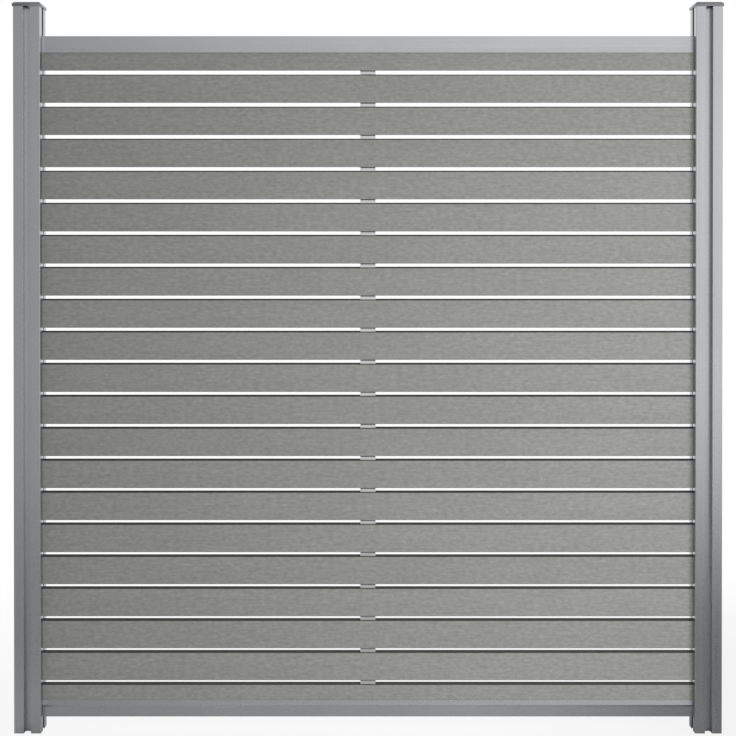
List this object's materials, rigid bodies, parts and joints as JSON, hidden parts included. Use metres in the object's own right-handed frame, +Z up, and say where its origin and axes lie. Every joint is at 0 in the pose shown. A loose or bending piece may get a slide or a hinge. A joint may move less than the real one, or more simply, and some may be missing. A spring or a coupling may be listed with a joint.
{
  "type": "garden privacy screen",
  "caption": "Garden privacy screen of horizontal rhombus slats held in slotted aluminium posts, with a rail above and below and a flat cap on each post.",
  "frame": {"origin": "on the ground, midway between the posts", "axes": "+Z up; +X along the screen, to the right seen from the front; the front faces -Y"},
  "size_m": [1.8556, 0.0746, 1.9115],
  "materials": {
    "anodised_aluminium": "satin anodised",
    "bracket_aluminium": "mill",
    "wood_plastic": "matt, brushed wood-plastic composite",
    "cap_plastic": "satin grey",
    "spacer_plastic": "satin grey",
    "stainless_steel": "satin"
  },
  "bodies": {
    "root": {"left_post": "anodised_aluminium", "left_post_cap": "cap_plastic", "right_post": "anodised_aluminium", "right_post_cap": "cap_plastic", "top_rail": "anodised_aluminium", "bottom_rail": "anodised_aluminium", "slat_01": "wood_plastic", "slat_02": "wood_plastic", "slat_03": "wood_plastic", "slat_04": "wood_plastic", "slat_05": "wood_plastic", "slat_06": "wood_plastic", "slat_07": "wood_plastic", "slat_08": "wood_plastic", "slat_09": "wood_plastic", "slat_10": "wood_plastic", "slat_11": "wood_plastic", "slat_12": "wood_plastic", "slat_13": "wood_plastic", "slat_14": "wood_plastic", "slat_15": "wood_plastic", "slat_16": "wood_plastic", "slat_17": "wood_plastic", "slat_18": "wood_plastic", "slat_19": "wood_plastic", "slat_20": "wood_plastic", "slat_21": "wood_plastic", "middle_spacer_01": "spacer_plastic", "middle_spacer_02": "spacer_plastic", "middle_spacer_03": "spacer_plastic", "middle_spacer_04": "spacer_plastic", "middle_spacer_05": "spacer_plastic", "middle_spacer_06": "spacer_plastic", "middle_spacer_07": "spacer_plastic", "middle_spacer_08": "spacer_plastic", "middle_spacer_09": "spacer_plastic", "middle_spacer_10": "spacer_plastic", "middle_spacer_11": "spacer_plastic", "middle_spacer_12": "spacer_plastic", "middle_spacer_13": "spacer_plastic", "middle_spacer_14": "spacer_plastic", "middle_spacer_15": "spacer_plastic", "middle_spacer_16": "spacer_plastic", "middle_spacer_17": "spacer_plastic", "middle_spacer_18": "spacer_plastic", "middle_spacer_19": "spacer_plastic", "middle_spacer_20": "spacer_plastic", "left_end_spacers": "spacer_plastic", "left_lower_bracket": "bracket_aluminium", "left_upper_bracket": "bracket_aluminium", "right_end_spacers": "spacer_plastic", "right_lower_bracket": "bracket_aluminium", "right_upper_bracket": "bracket_aluminium", "post_screws": "stainless_steel", "rail_screws": "stainless_steel"}
  },
  "joints": []
}
